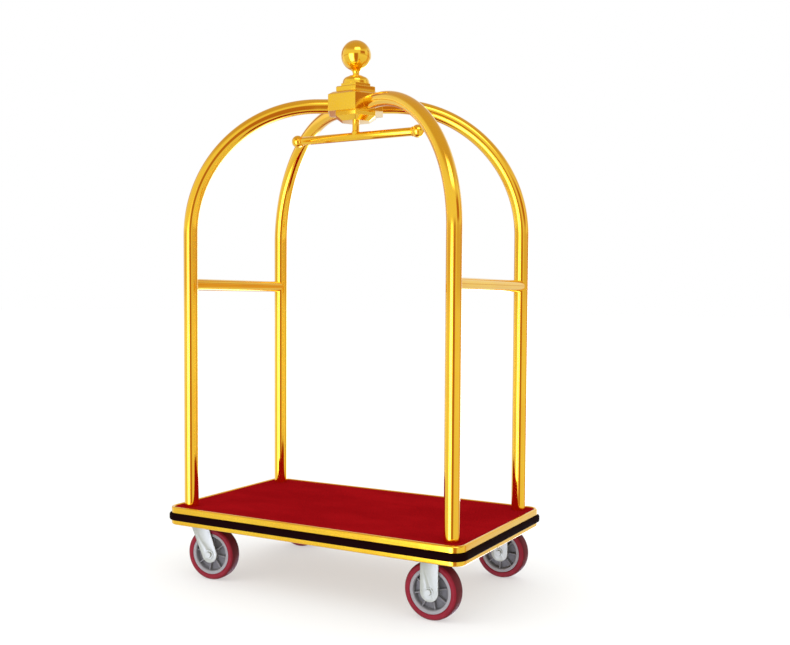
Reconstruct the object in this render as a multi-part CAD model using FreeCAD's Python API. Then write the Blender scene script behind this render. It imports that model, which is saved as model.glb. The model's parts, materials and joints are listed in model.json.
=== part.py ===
import FreeCAD, Part
import math
import os

# Hotel luggage cart. Millimetres, +Z up, +X towards the end with the rigid casters.
# The origin is on the floor under the middle of the deck.

# ---- deck ----
deckLength = 1200.0          # over the bumper
deckWidth = 700.0
bumperProud = 8.0            # how far the bumper stands out of the rim
bumperHeight = 26.0
bumperBottom = 210.5
rimCorner = 42.0             # outer corner radius of the rim
rimDepth = 12.0              # depth of the rim's beads, outer face to board
rimWeb = 3.0                 # wall behind the bumper
rimBottom = 194.0
rimTop = 259.0
beadRound = 5.5              # rounding of the beads
grooveGap = 0.5              # between bumper and beads
boardBottom = 232.0
boardThick = 18.0
carpetThick = 7.0
carpetGap = 0.5              # carpet edge to rim
postHoleGap = 0.5            # board and carpet hole round a post

# ---- underframe ----
frameTube = 25.0             # width of the rectangular tube
frameHeight = 15.0
frameWall = 1.5
middleMembers = (-265.0, 0.0, 265.0)
padLength = 135.0            # caster mounting pads
padWidth = 96.0
padOffset = 9.0              # pad centre beyond the caster's centre

# ---- upright frame ----
tubeRadius = 25.5
tubeWall = 1.5
postX = 530.0
postY = 277.5
bendStart = 1246.0           # height where the posts turn into the arch
bendRadius = 462.0
plugHeight = 12.0
postBoltRadius = 5.0
postHeadRadius = 9.25
postHeadHeight = 6.5
railRadius = 21.0
railHeight = 1067.0

# ---- crown ----
hubRadius = 113.0            # corner to centre of the hexagon
hubBottom = 1680.0
hubTop = 1739.0
shoulderRise = 11.0
shoulderRadius = 92.0
shellWall = 4.0
tubeEnd = 62.0               # where the four tubes stop, from the centre
tubeHoleGap = 0.3
spiderRadius = 44.0
spiderHeight = 38.0
spigotReach = 91.0
studRadius = 6.0
studGap = 0.3
studBelow = 10.0             # how far the stud reaches into the hanger rod
lowTierRadius = 80.0
lowTierHeight = 21.0
highTierRadius = 60.0
highTierHeight = 12.0
tierBevel = 3.0
domeRadius = 49.5
domeHeight = 33.5
domeFoot = 5.0               # height of the foot ring
domeFootRound = 1.5
domeShoulder = 48.5          # where the lower dome starts
domeStep = 30.0              # radius of the small ring between the two domes
domeStepRise = 27.5
domeLip = 1.8
domeCrown = 14.0
ballRadius = 54.0
ballHeight = 1888.0
neckRadius = 11.5
neckFillet = 18.0
neckFoot = 2.0               # foot of the neck, beyond the neck
studInBall = 14.0
baseFlange = 2.2
bandRadius = 82.0
bandHeight = 12.0
coneTopRadius = 80.0
coneBottomRadius = 56.0
coneHeight = 16.0
edgeBevel = 1.6

# ---- hanging bar ----
barHeight = 1601.0
barRadius = 15.0
barWall = 2.0
barHalf = 232.0              # half the length of the tube
barBallRadius = 22.5
barBallX = 252.0
barSpigot = 20.0             # of the ball's spigot in the tube
barCollar = 2.5              # collar beyond the tube
hangerRadius = 12.5
hangerFlange = 20.0
hangerFlangeThick = 6.0
hangerSeat = 10.0            # floor of the hollow cone

# ---- casters ----
casterX = 469.0              # plate centre, both ends
casterY = 280.0
wheelRadius = 95.0
treadWidth = 52.0
tyreShoulder = 9.0           # where the tyre's side starts to round, below the tread
treadDrop = 0.9              # how far the tread's edges lie below its middle
treadFlat = 15.5             # half the nearly flat part of the tread
coreRadius = 73.5
coreWidth = 48.0
coreChamfer = 1.5
rimInner = 61.5
webThick = 8.0
hubOuter = 24.0
hubWidth = 54.0
ribCount = 8
ribThick = 5.0
ribHeight = 32.0
casterTop = 212.0
plateLength = 100.0
plateWidth = 84.0
plateThick = 4.0
plateCorner = 10.0
casterBoltX = 40.5
casterBoltY = 30.0
casterBoltRadius = 4.0
casterHeadRadius = 7.5
casterHeadHeight = 5.3
casterNutHeight = 6.5
boltHoleGap = 0.5
forkGap = 59.0               # between the legs
forkSheet = 3.5
forkBend = 2.5               # outer rounding of the folds
rigidLegWidth = 64.0
rigidLegEnd = 32.0
swivelLegTop = 36.0          # half the width of the leaning leg at the crown
swivelLegEnd = 30.0
axleRadius = 6.0
axleTail = 12.0              # axle bolt beyond the fork
washerRadius = 16.0
washerThick = 2.0
axleHeadRadius = 11.5
axleHeadHeight = 7.0
axleNutHeight = 9.5
sleeveRadius = 9.0
runningGap = 0.05
bearingRadius = 17.5
bearingWidth = 12.0
swivelOffset = 42.0          # king pin to axle
swivelYaw = {"front": 7.0, "rear": 4.0}
crownTop = 199.0
crownThick = 4.0
raceHeight = 203.5           # plane of the swivel balls
racePitch = 24.0
raceOuter = 32.0
raceSplit = 0.3              # half the gap between the two races
ballBearingRadius = 3.5
raceGroove = 3.6
raceBallCount = 16
kingHeadRadius = 10.0
kingNutRadius = 10.4
kingNutHeight = 6.5
kingNutGap = 0.4

# ---- worked out ----
rimLength = deckLength - 2 * bumperProud
rimWidth = deckWidth - 2 * bumperProud
bumperTop = bumperBottom + bumperHeight
boardTop = boardBottom + boardThick
carpetTop = boardTop + carpetThick
frameBottom = boardBottom - frameHeight
apexHeight = bendStart + bendRadius
postReach = math.hypot(postX, postY)
tubeAngle = math.degrees(math.atan2(postY, postX))
hubShoulder = hubTop + shoulderRise
highTierBottom = hubShoulder + lowTierHeight
domeBottom = highTierBottom + highTierHeight
domeTop = domeBottom + domeHeight
bandBottom = hubBottom - bandHeight
coneBottom = bandBottom - coneHeight
legInner = forkGap / 2
legOuter = legInner + forkSheet
cornerSigns = [(-1, -1), (-1, 1), (1, -1), (1, 1)]
sideNames = {-1: "front", 1: "rear"}
endNames = {-1: "left", 1: "right"}

Vec = FreeCAD.Vector
up = Vec(0, 0, 1)
acrossY = Vec(0, 1, 0)
origin = Vec(0, 0, 0)


# ---- shapes that repeat ----
def save(shape, node):
    shape.exportStep("parts/%s.step" % node)


def box(x0, x1, y0, y1, z0, z1):
    return Part.makeBox(x1 - x0, y1 - y0, z1 - z0, Vec(x0, y0, z0))


def rod(radius, z0, z1, x=0.0, y=0.0):
    return Part.makeCylinder(radius, z1 - z0, Vec(x, y, z0), up)


def rodY(radius, y0, y1, x=0.0, z=0.0):
    return Part.makeCylinder(radius, y1 - y0, Vec(x, y0, z), acrossY)


def hexagon(radius, z):
    corners = [Vec(radius * math.cos(math.radians(60 * i)), radius * math.sin(math.radians(60 * i)), z)
               for i in range(7)]
    return Part.makePolygon(corners)


def hexPrism(radius, z0, z1):
    return Part.Face(hexagon(radius, z0)).extrude(Vec(0, 0, z1 - z0))


def hexTaper(lowRadius, highRadius, z0, z1):
    return Part.makeLoft([hexagon(lowRadius, z0), hexagon(highRadius, z1)], True, True)


def hexNut(radius, height, x, y, z, bore):
    body = hexPrism(radius, 0, height)
    body.translate(Vec(x, y, z))
    return body.cut(rod(bore, z, z + height, x, y))


def roundedBlock(length, width, corner, z0, z1):
    block = box(-length / 2, length / 2, -width / 2, width / 2, z0, z1)
    upright = [edge for edge in block.Edges if abs(edge.tangentAt(edge.FirstParameter).z) > 0.9]
    return block.makeFillet(corner, upright)


def ring(length, width, corner, depth, z0, z1):
    outer = roundedBlock(length, width, corner, z0, z1)
    return outer.cut(roundedBlock(length - 2 * depth, width - 2 * depth, corner - depth, z0, z1))


def flatEdges(shape, z):
    return [edge for edge in shape.Edges
            if abs(edge.BoundBox.ZMin - z) < 0.01 and abs(edge.BoundBox.ZMax - z) < 0.01]


def uprightEdges(shape):
    return [edge for edge in shape.Edges
            if edge.Curve.TypeId == "Part::GeomLine" and abs(edge.tangentAt(edge.FirstParameter).z) > 0.3]


def revolved(points):
    # a turned piece: the points run up its outside, and straight lines close it on the axis
    outline = Part.makePolygon([Vec(r, 0, z) for r, z in points] + [Vec(points[0][0], 0, points[0][1])])
    return Part.Face(outline).revolve(origin, up, 360)


def turnedWire(edges):
    return Part.Face(Part.Wire(Part.__sortEdges__(edges))).revolve(origin, up, 360)


def line(r0, z0, r1, z1):
    return Part.LineSegment(Vec(r0, 0, z0), Vec(r1, 0, z1)).toShape()


def arc(r0, z0, r1, z1, r2, z2):
    return Part.Arc(Vec(r0, 0, z0), Vec(r1, 0, z1), Vec(r2, 0, z2)).toShape()


def laidAlongY(shape, x=0.0, z=0.0):
    # turns a piece made about Z so that its axis is Y, its top towards -Y, through (x, z)
    turned = shape.copy()
    turned.rotate(origin, Vec(1, 0, 0), 90)
    turned.translate(Vec(x, 0, z))
    return turned


def spread(shape, places):
    copies = []
    for place in places:
        copy = shape.copy()
        copy.translate(Vec(place[0], place[1], place[2] if len(place) > 2 else 0))
        copies.append(copy)
    return Part.makeCompound(copies)


# ---- deck ----
postPlaces = [(sx * postX, sy * postY) for sx, sy in cornerSigns]
padPlaces = [(sx * (casterX + padOffset), sy * casterY) for sx, sy in cornerSigns]
casterBoltOffsets = [(sx * casterBoltX, sy * casterBoltY) for sx, sy in cornerSigns]
casterBoltPlaces = [(sx * casterX + dx, sy * casterY + dy)
                    for sx, sy in cornerSigns for dx, dy in casterBoltOffsets]


def withPostHoles(shape, z0, z1):
    for x, y in postPlaces:
        shape = shape.cut(rod(tubeRadius + postHoleGap, z0, z1, x, y))
    return shape


def deckRim():
    topBead = ring(rimLength, rimWidth, rimCorner, rimDepth, bumperTop + grooveGap, rimTop)
    topBead = topBead.makeFillet(beadRound, flatEdges(topBead, rimTop))
    lowBead = ring(rimLength, rimWidth, rimCorner, rimDepth, rimBottom, bumperBottom - grooveGap)
    lowBead = lowBead.makeFillet(beadRound, flatEdges(lowBead, rimBottom))
    inset = rimDepth - rimWeb
    web = ring(rimLength - 2 * inset, rimWidth - 2 * inset, rimCorner - inset, rimWeb,
               bumperBottom - grooveGap, bumperTop + grooveGap)
    return topBead.fuse([web, lowBead]).removeSplitter()


def bumperStrip():
    depth = bumperProud + rimDepth - rimWeb
    strip = ring(deckLength, deckWidth, rimCorner + bumperProud, depth, bumperBottom, bumperTop)
    outside = [edge for z in (bumperBottom, bumperTop) for edge in flatEdges(strip, z) if isOuter(edge)]
    return strip.makeFillet(bumperProud - 1.0, outside)


def isOuter(edge):
    # true for an edge of the bumper's outer outline
    mid = edge.valueAt((edge.FirstParameter + edge.LastParameter) / 2)
    corner = rimCorner + bumperProud
    dx = max(abs(mid.x) - (deckLength / 2 - corner), 0)
    dy = max(abs(mid.y) - (deckWidth / 2 - corner), 0)
    return abs(math.hypot(dx, dy) - corner) < 1.0


def boardShape():
    board = roundedBlock(rimLength - 2 * rimDepth, rimWidth - 2 * rimDepth, rimCorner - rimDepth,
                         boardBottom, boardTop)
    return withPostHoles(board, boardBottom, boardTop)


def carpetShape():
    inset = 2 * (rimDepth + carpetGap)
    carpet = roundedBlock(rimLength - inset, rimWidth - inset, rimCorner - rimDepth, boardTop, carpetTop)
    return withPostHoles(carpet, boardTop, carpetTop)


# ---- underframe ----
def frameLength(x0, x1, y0, y1):
    # a length of rectangular tube, hollow along its longer side
    wall = frameWall
    outer = box(x0, x1, y0, y1, frameBottom, boardBottom)
    if x1 - x0 > y1 - y0:
        return outer.cut(box(x0, x1, y0 + wall, y1 - wall, frameBottom + wall, boardBottom - wall))
    return outer.cut(box(x0 + wall, x1 - wall, y0, y1, frameBottom + wall, boardBottom - wall))


def longMembers():
    half = frameTube / 2
    tubes = []
    for sy in (-1, 1):
        tube = frameLength(-postX - half, postX + half, sy * postY - half, sy * postY + half)
        for sx in (-1, 1):
            tube = tube.cut(rod(postBoltRadius + boltHoleGap, frameBottom, boardBottom, sx * postX, sy * postY))
        tubes.append(tube)
    return Part.makeCompound(tubes)


def crossMembers():
    half = frameTube / 2
    reach = postY - half
    places = (-postX,) + middleMembers + (postX,)
    return Part.makeCompound([frameLength(x - half, x + half, -reach, reach) for x in places])


def casterPads():
    pads = []
    for (x, y), (sx, sy) in zip(padPlaces, cornerSigns):
        pad = box(x - padLength / 2, x + padLength / 2, y - padWidth / 2, y + padWidth / 2,
                  casterTop, frameBottom)
        pad = pad.cut(rod(postBoltRadius + boltHoleGap, casterTop, frameBottom, sx * postX, sy * postY))
        for dx, dy in casterBoltOffsets:
            pad = pad.cut(rod(casterBoltRadius + boltHoleGap, casterTop, frameBottom,
                              sx * casterX + dx, sy * casterY + dy))
        pads.append(pad)
    return Part.makeCompound(pads)


# ---- upright frame ----
def bowTube(sx, sy):
    # post, quarter bend towards the centre, short level run into the hub
    ux = sx * postX / postReach
    uy = sy * postY / postReach
    turn = postReach - bendRadius
    slant = bendRadius * (1 - math.cos(math.radians(45)))
    rise = bendRadius * math.sin(math.radians(45))
    foot = Vec(sx * postX, sy * postY, boardBottom)
    shoulder = Vec(sx * postX, sy * postY, bendStart)
    middle = Vec(ux * (postReach - slant), uy * (postReach - slant), bendStart + rise)
    crest = Vec(ux * turn, uy * turn, apexHeight)
    inner = Vec(ux * tubeEnd, uy * tubeEnd, apexHeight)
    path = Part.Wire([Part.LineSegment(foot, shoulder).toShape(), Part.Arc(shoulder, middle, crest).toShape(),
                      Part.LineSegment(crest, inner).toShape()])
    sides = []
    for radius in (tubeRadius, tubeRadius - tubeWall):
        section = Part.Wire([Part.Circle(foot, up, radius).toShape()])
        sides.append(path.makePipeShell([section], True, False))
    return sides[0].cut(sides[1])


def postPlugs():
    plug = rod(tubeRadius - tubeWall, boardBottom, boardBottom + plugHeight)
    plug = plug.cut(rod(postBoltRadius, boardBottom, boardBottom + plugHeight))
    return spread(plug, postPlaces)


def postBolts():
    head = hexPrism(postHeadRadius, casterTop - postHeadHeight, casterTop)
    shank = rod(postBoltRadius, casterTop, boardBottom + plugHeight - 1)
    return spread(head.fuse(shank).removeSplitter(), postPlaces)


def sideRail(sx):
    rail = rodY(railRadius, -postY, postY, sx * postX, railHeight)
    rail = rail.cut(rodY(railRadius - tubeWall, -postY, postY, sx * postX, railHeight))
    for sy in (-1, 1):
        rail = rail.cut(rod(tubeRadius, railHeight - 2 * railRadius, railHeight + 2 * railRadius,
                            sx * postX, sy * postY))
    return rail


# ---- crown ----
def tubeDirections():
    return [tubeAngle, 180 - tubeAngle, 180 + tubeAngle, -tubeAngle]


def levelRod(radius, start, end, angle):
    way = Vec(math.cos(math.radians(angle)), math.sin(math.radians(angle)), 0)
    return Part.makeCylinder(radius, end - start, Vec(way.x * start, way.y * start, apexHeight), way)


def hubBody():
    shell = hexPrism(hubRadius, hubBottom, hubTop)
    shell = shell.fuse(hexTaper(hubRadius, shoulderRadius, hubTop, hubShoulder)).removeSplitter()
    shell = shell.makeChamfer(edgeBevel, uprightEdges(shell))
    inside = hubRadius - shellWall / math.cos(math.radians(30))
    shell = shell.cut(hexPrism(inside, hubBottom, hubTop - shellWall / 2))
    shell = shell.cut(rod(studRadius + studGap, hubTop - shellWall, hubShoulder))
    for angle in tubeDirections():
        shell = shell.cut(levelRod(tubeRadius + tubeHoleGap, tubeEnd, hubRadius + tubeRadius, angle))
    return shell


def hubSpider():
    block = rod(spiderRadius, apexHeight - spiderHeight / 2, apexHeight + spiderHeight / 2)
    spigots = [levelRod(tubeRadius - tubeWall - 0.1, 0, spigotReach, angle) for angle in tubeDirections()]
    block = block.fuse(spigots).removeSplitter()
    return block.cut(rod(studRadius + studGap, hubBottom, hubTop))


def hubCap():
    low = hexPrism(lowTierRadius, hubShoulder, highTierBottom)
    low = low.makeChamfer(edgeBevel, uprightEdges(low))
    low = low.makeChamfer(tierBevel, flatEdges(low, highTierBottom))
    high = hexPrism(highTierRadius, highTierBottom, domeBottom)
    high = high.makeChamfer(edgeBevel, uprightEdges(high))
    high = high.makeChamfer(edgeBevel, flatEdges(high, domeBottom))
    cap = low.fuse(high).removeSplitter()
    inner = shellWall / math.cos(math.radians(30))
    cap = cap.cut(hexPrism(lowTierRadius - inner, hubShoulder, highTierBottom - shellWall))
    cap = cap.cut(hexPrism(highTierRadius - inner, hubShoulder, domeBottom - shellWall))
    return cap.cut(rod(studRadius + studGap, hubShoulder, domeBottom))


def hubDome():
    # a foot ring, a full round dome, a small step and a flatter dome on top, hollow underneath
    z = domeBottom
    footTop = z + domeFoot
    stepLow = z + domeStepRise
    stepTop = stepLow + domeLip
    inFoot = domeRadius - domeFootRound
    innerStep = domeStep - domeLip
    edges = [line(0, z, domeRadius, z), line(domeRadius, z, domeRadius, footTop - domeFootRound),
             arc(domeRadius, footTop - domeFootRound, domeRadius - 0.45, footTop - 0.45, inFoot, footTop),
             line(inFoot, footTop, domeShoulder, footTop),
             arc(domeShoulder, footTop, domeShoulder - 3.5, z + 18.5, domeStep, stepLow),
             line(domeStep, stepLow, domeStep, stepTop), line(domeStep, stepTop, innerStep, stepTop),
             arc(innerStep, stepTop, innerStep - 5.5, stepTop + 2.4, domeCrown, domeTop),
             line(domeCrown, domeTop, 0, domeTop), line(0, domeTop, 0, z)]
    dome = turnedWire(edges)
    inside = domeRadius - shellWall
    hollow = revolved([(0, z), (inside, z), (inside, z + 2), (38, z + 17), (22, z + 25), (0, z + 25)])
    return dome.cut(hollow).cut(rod(studRadius + studGap, z, domeTop))


def finialBall():
    # turned neck that flows into the ball through a hollow curve
    reach = ballRadius + neckFillet
    side = neckRadius + neckFillet
    filletZ = ballHeight - math.sqrt(reach ** 2 - side ** 2)
    touchR = side * ballRadius / reach
    touchZ = ballHeight - (ballHeight - filletZ) * ballRadius / reach
    half = math.atan2(ballHeight - filletZ, side) / 2
    midR = side - neckFillet * math.cos(half)
    midZ = filletZ + neckFillet * math.sin(half)
    footR = neckRadius + neckFoot
    edges = [line(0, domeTop, footR, domeTop), line(footR, domeTop, footR, domeTop + 2.5),
             line(footR, domeTop + 2.5, neckRadius, domeTop + 4.0), line(neckRadius, domeTop + 4.0, neckRadius, filletZ),
             arc(neckRadius, filletZ, midR, midZ, touchR, touchZ),
             arc(touchR, touchZ, ballRadius, ballHeight, 0, ballHeight + ballRadius),
             line(0, ballHeight + ballRadius, 0, domeTop)]
    finial = turnedWire(edges)
    finial = finial.cut(Part.makeSphere(ballRadius - shellWall, Vec(0, 0, ballHeight)))
    return finial.cut(rod(studRadius, domeTop, domeTop + studInBall))


def hubBase():
    # a flange inside the shell, a hexagonal band and a cone down to the hanger rod
    inside = hubRadius - shellWall / math.cos(math.radians(30)) - 0.2
    flange = hexPrism(inside, hubBottom, hubBottom + baseFlange)
    band = hexPrism(bandRadius, bandBottom, hubBottom)
    band = band.makeChamfer(edgeBevel, uprightEdges(band))
    cone = hexTaper(coneBottomRadius, coneTopRadius, coneBottom, bandBottom)
    base = flange.fuse([band, cone]).removeSplitter()
    floor = coneBottom + hangerSeat
    base = base.cut(rod(coneBottomRadius, floor, hubBottom + baseFlange))
    return base.cut(rod(hangerRadius + studGap, coneBottom, floor))


def tieStud():
    return rod(studRadius, coneBottom - studBelow, domeTop + studInBall - 1)


def hangerRod():
    seat = coneBottom + hangerSeat
    flangeTop = seat + hangerFlangeThick
    rodShape = rod(hangerRadius, barHeight, seat).fuse(rod(hangerFlange, seat, flangeTop)).removeSplitter()
    rodShape = rodShape.cut(rod(studRadius, coneBottom - studBelow - 1, flangeTop))
    along = Part.makeCylinder(barRadius, 4 * barRadius, Vec(-2 * barRadius, 0, barHeight), Vec(1, 0, 0))
    return rodShape.cut(along)


def hangingBar():
    start = Vec(-barHalf, 0, barHeight)
    way = Vec(1, 0, 0)
    tube = Part.makeCylinder(barRadius, 2 * barHalf, start, way)
    return tube.cut(Part.makeCylinder(barRadius - barWall, 2 * barHalf, start, way))


def barBalls():
    # spigot, small collar and ball, turned about Z and laid along the bar
    rise = barBallX - barHalf
    spigot = rod(barRadius - barWall, -barSpigot, 0)
    collarRadius = barRadius + barCollar
    collar = revolved([(0, 0), (collarRadius, 0), (collarRadius, 4), (barRadius - 1, 7), (0, 7)])
    ball = spigot.fuse([collar, Part.makeSphere(barBallRadius, Vec(0, 0, rise))]).removeSplitter()
    ends = []
    for side in (-1, 1):
        end = ball.copy()
        end.rotate(origin, Vec(0, 1, 0), 90 * side)
        end.translate(Vec(side * barHalf, 0, barHeight))
        ends.append(end)
    return Part.makeCompound(ends)


# ---- wheels, made about the origin with the axle along Y ----
def tyreShape():
    half = treadWidth / 2
    side = wheelRadius - tyreShoulder
    edge = wheelRadius - treadDrop
    knee = wheelRadius - 2.9
    inset = half - 1.5
    edges = [line(coreRadius, -inset, coreRadius, inset),
             line(coreRadius, inset, coreRadius + 4, half), line(coreRadius + 4, half, side, half),
             arc(side, half, knee, half - 4, edge, treadFlat),
             arc(edge, treadFlat, wheelRadius, 0, edge, -treadFlat),
             arc(edge, -treadFlat, knee, 4 - half, side, -half),
             line(side, -half, coreRadius + 4, -half), line(coreRadius + 4, -half, coreRadius, -inset)]
    return laidAlongY(turnedWire(edges))


def coreShape():
    half = coreWidth / 2
    rim = rodY(coreRadius, -half, half).cut(rodY(rimInner, -half, half))
    rim = rim.makeChamfer(coreChamfer, [edge for edge in rim.Edges if edge.Curve.TypeId == "Part::GeomCircle"
                                        and edge.Curve.Radius < coreRadius - 1])
    web = rodY(rimInner + 1, -webThick / 2, webThick / 2)
    hub = rodY(hubOuter, -hubWidth / 2, hubWidth / 2)
    core = rim.fuse([web, hub])
    ribs = []
    for i in range(ribCount):
        rib = box(hubOuter - 2, rimInner + 1, -ribHeight / 2, ribHeight / 2, -ribThick / 2, ribThick / 2)
        rib.rotate(origin, acrossY, 360.0 * i / ribCount + 180.0 / ribCount)
        ribs.append(rib)
    core = core.fuse(ribs).removeSplitter()
    core = core.cut(rodY(sleeveRadius + 1, -hubWidth, hubWidth))
    for side in (-1, 1):
        inner = side * (hubWidth / 2 - bearingWidth)
        outer = side * (hubWidth / 2 + 1)
        core = core.cut(rodY(bearingRadius, min(inner, outer), max(inner, outer)))
    return core


def bearingPair():
    outer = hubWidth / 2
    rings = []
    for y0 in (-outer, outer - bearingWidth):
        bearing = rodY(bearingRadius, y0, y0 + bearingWidth)
        rings.append(bearing.cut(rodY(sleeveRadius + runningGap, y0, y0 + bearingWidth)))
    return Part.makeCompound(rings)


def axleSleeve():
    return rodY(sleeveRadius, -legInner, legInner).cut(rodY(axleRadius, -legInner, legInner))


def axleBolt():
    # head and washer face towards -Y
    bolt = rodY(axleRadius, -legOuter, legOuter + axleTail)
    washer = rodY(washerRadius, -legOuter - washerThick, -legOuter)
    head = hexPrism(axleHeadRadius, 0, axleHeadHeight)
    head = head.common(Part.makeCone(axleHeadRadius + 2, axleHeadRadius - 2, axleHeadHeight + 1, Vec(0, 0, -1), up))
    head = laidAlongY(head)
    head.translate(Vec(0, -legOuter - washerThick, 0))
    return bolt.fuse([washer, head]).removeSplitter()


def axleNut():
    nut = laidAlongY(hexPrism(axleHeadRadius, 0, axleNutHeight))
    nut.translate(Vec(0, legOuter + axleNutHeight, 0))
    return nut.cut(rodY(axleRadius, legOuter - 1, legOuter + axleTail))


# ---- caster frames, made about the plate's centre ----
def casterPlate():
    plate = roundedBlock(plateLength, plateWidth, plateCorner, casterTop - plateThick, casterTop)
    for dx, dy in casterBoltOffsets:
        plate = plate.cut(rod(casterBoltRadius + boltHoleGap, casterTop - plateThick, casterTop, dx, dy))
    return plate


def forkLeg(topCentre, topHalf, topZ, axleX, endRadius, y):
    # a flat leg in one plane: straight sides down to a round end about the axle
    dx = axleX - topCentre
    drop = topZ - wheelRadius
    lean = math.atan2(dx, drop)
    right = Vec(axleX + endRadius * math.cos(lean), y, wheelRadius + endRadius * math.sin(lean))
    left = Vec(axleX - endRadius * math.cos(lean), y, wheelRadius - endRadius * math.sin(lean))
    bottom = Vec(axleX + endRadius * math.sin(lean), y, wheelRadius - endRadius * math.cos(lean))
    topLeft = Vec(topCentre - topHalf, y, topZ)
    topRight = Vec(topCentre + topHalf, y, topZ)
    outline = Part.Wire([Part.LineSegment(topLeft, topRight).toShape(), Part.LineSegment(topRight, right).toShape(),
                         Part.Arc(right, bottom, left).toShape(), Part.LineSegment(left, topLeft).toShape()])
    return Part.Face(outline).extrude(Vec(0, forkSheet, 0))


def rigidFork():
    top = casterTop - plateThick
    crown = box(-rigidLegWidth / 2, rigidLegWidth / 2, -legOuter, legOuter, top - forkSheet, top)
    legs = [forkLeg(0, rigidLegWidth / 2, top, 0, rigidLegEnd, y) for y in (-legOuter, legInner)]
    fork = crown.fuse(legs).removeSplitter()
    bends = [edge for edge in flatEdges(fork, top) if abs(edge.tangentAt(edge.FirstParameter).x) > 0.9]
    fork = fork.makeFillet(forkBend, bends)
    return fork.cut(rodY(axleRadius, -legOuter, legOuter, 0, wheelRadius))


def raceCut():
    return Part.makeTorus(racePitch, raceGroove, Vec(0, 0, raceHeight), up)


def swivelPlate():
    plate = casterPlate().fuse(rod(raceOuter, raceHeight + raceSplit, casterTop - plateThick)).removeSplitter()
    plate = plate.cut(raceCut())
    plate = plate.cut(rod(kingHeadRadius, casterTop - plateThick, casterTop))
    return plate.cut(rod(axleRadius, raceHeight, casterTop))


def swivelFork():
    # leaning legs under a round crown, trailing towards +X
    crown = box(-raceOuter, raceOuter, -legOuter, legOuter, crownTop - crownThick, crownTop)
    legs = [forkLeg(0, swivelLegTop, crownTop, swivelOffset, swivelLegEnd, y) for y in (-legOuter, legInner)]
    fork = crown.common(rod(raceOuter + 8, crownTop - crownThick, crownTop)).fuse(legs).removeSplitter()
    bends = [edge for edge in flatEdges(fork, crownTop)
             if abs(edge.tangentAt(edge.FirstParameter).x) > 0.9 and edge.Length > 20]
    fork = fork.makeFillet(forkBend, bends)
    race = rod(raceOuter, crownTop, raceHeight - raceSplit)
    fork = fork.fuse(race).removeSplitter().cut(raceCut())
    fork = fork.cut(rod(axleRadius + runningGap, crownTop - crownThick, raceHeight))
    return fork.cut(rodY(axleRadius, -legOuter, legOuter, swivelOffset, wheelRadius))


def kingPin():
    tail = crownTop - crownThick - kingNutGap - kingNutHeight - 0.6
    pin = rod(axleRadius, tail, casterTop - plateThick)
    return pin.fuse(rod(kingHeadRadius, casterTop - plateThick, casterTop)).removeSplitter()


def kingNut():
    bottom = crownTop - crownThick - kingNutGap - kingNutHeight
    return hexNut(kingNutRadius, kingNutHeight, 0, 0, bottom, axleRadius)


def raceBalls():
    balls = []
    for i in range(raceBallCount):
        turn = 2 * math.pi * i / raceBallCount
        place = Vec(racePitch * math.cos(turn), racePitch * math.sin(turn), raceHeight)
        balls.append(Part.makeSphere(ballBearingRadius, place))
    return Part.makeCompound(balls)


def casterBolt():
    under = casterTop - plateThick
    head = hexPrism(casterHeadRadius, under - casterHeadHeight, under)
    return head.fuse(rod(casterBoltRadius, under, frameBottom + casterNutHeight + 1.5)).removeSplitter()


def placed(shape, sx, side, offset=0.0, yaw=0.0, height=0.0):
    # at a caster's plate centre; offset and yaw put it on a swivelled fork
    copy = shape.copy()
    copy.translate(Vec(offset, 0, height))
    copy.rotate(origin, up, yaw)
    copy.translate(Vec(sx * casterX, side * casterY, 0))
    return copy


os.makedirs("parts", exist_ok=True)

save(boardShape(), "deck_board")
save(carpetShape(), "deck_carpet")
save(deckRim(), "deck_rim")
save(bumperStrip(), "bumper_strip")
save(longMembers(), "frame_long_members")
save(crossMembers(), "frame_cross_members")
save(casterPads(), "caster_mounting_pads")

for sx, sy in cornerSigns:
    save(bowTube(sx, sy), "bow_tube_%s_%s" % (sideNames[sy], endNames[sx]))
for sx in (-1, 1):
    save(sideRail(sx), "side_rail_" + endNames[sx])
save(postPlugs(), "post_plugs")
save(postBolts(), "post_bolts")

save(hubBody(), "hub_body")
save(hubSpider(), "hub_spider")
save(hubCap(), "hub_cap")
save(hubDome(), "hub_dome")
save(finialBall(), "finial_ball")
save(hubBase(), "hub_base")
save(tieStud(), "tie_stud")
save(hangerRod(), "hanger_rod")
save(hangingBar(), "hanging_bar")
save(barBalls(), "bar_end_balls")

save(spread(casterBolt(), casterBoltPlaces), "caster_bolts")
casterNut = hexNut(casterHeadRadius, casterNutHeight, 0, 0, frameBottom, casterBoltRadius)
save(spread(casterNut, casterBoltPlaces), "caster_nuts")

# rigid casters at the right end, whose forks, bolts and sleeves never move
for side in (-1, 1):
    name = "rigid_%s_" % sideNames[side]
    save(placed(casterPlate(), 1, side), name + "plate")
    save(placed(rigidFork(), 1, side), name + "fork")
    save(placed(coreShape(), 1, side, height=wheelRadius), name + "wheel_core")
    save(placed(tyreShape(), 1, side, height=wheelRadius), name + "tyre")
    save(placed(bearingPair(), 1, side, height=wheelRadius), name + "bearings")
for shape, node in ((axleBolt(), "rigid_axle_bolts"), (axleNut(), "rigid_axle_nuts"),
                    (axleSleeve(), "rigid_axle_sleeves")):
    pair = [placed(shape, 1, side, height=wheelRadius) for side in (-1, 1)]
    save(Part.makeCompound(pair), node)

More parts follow.
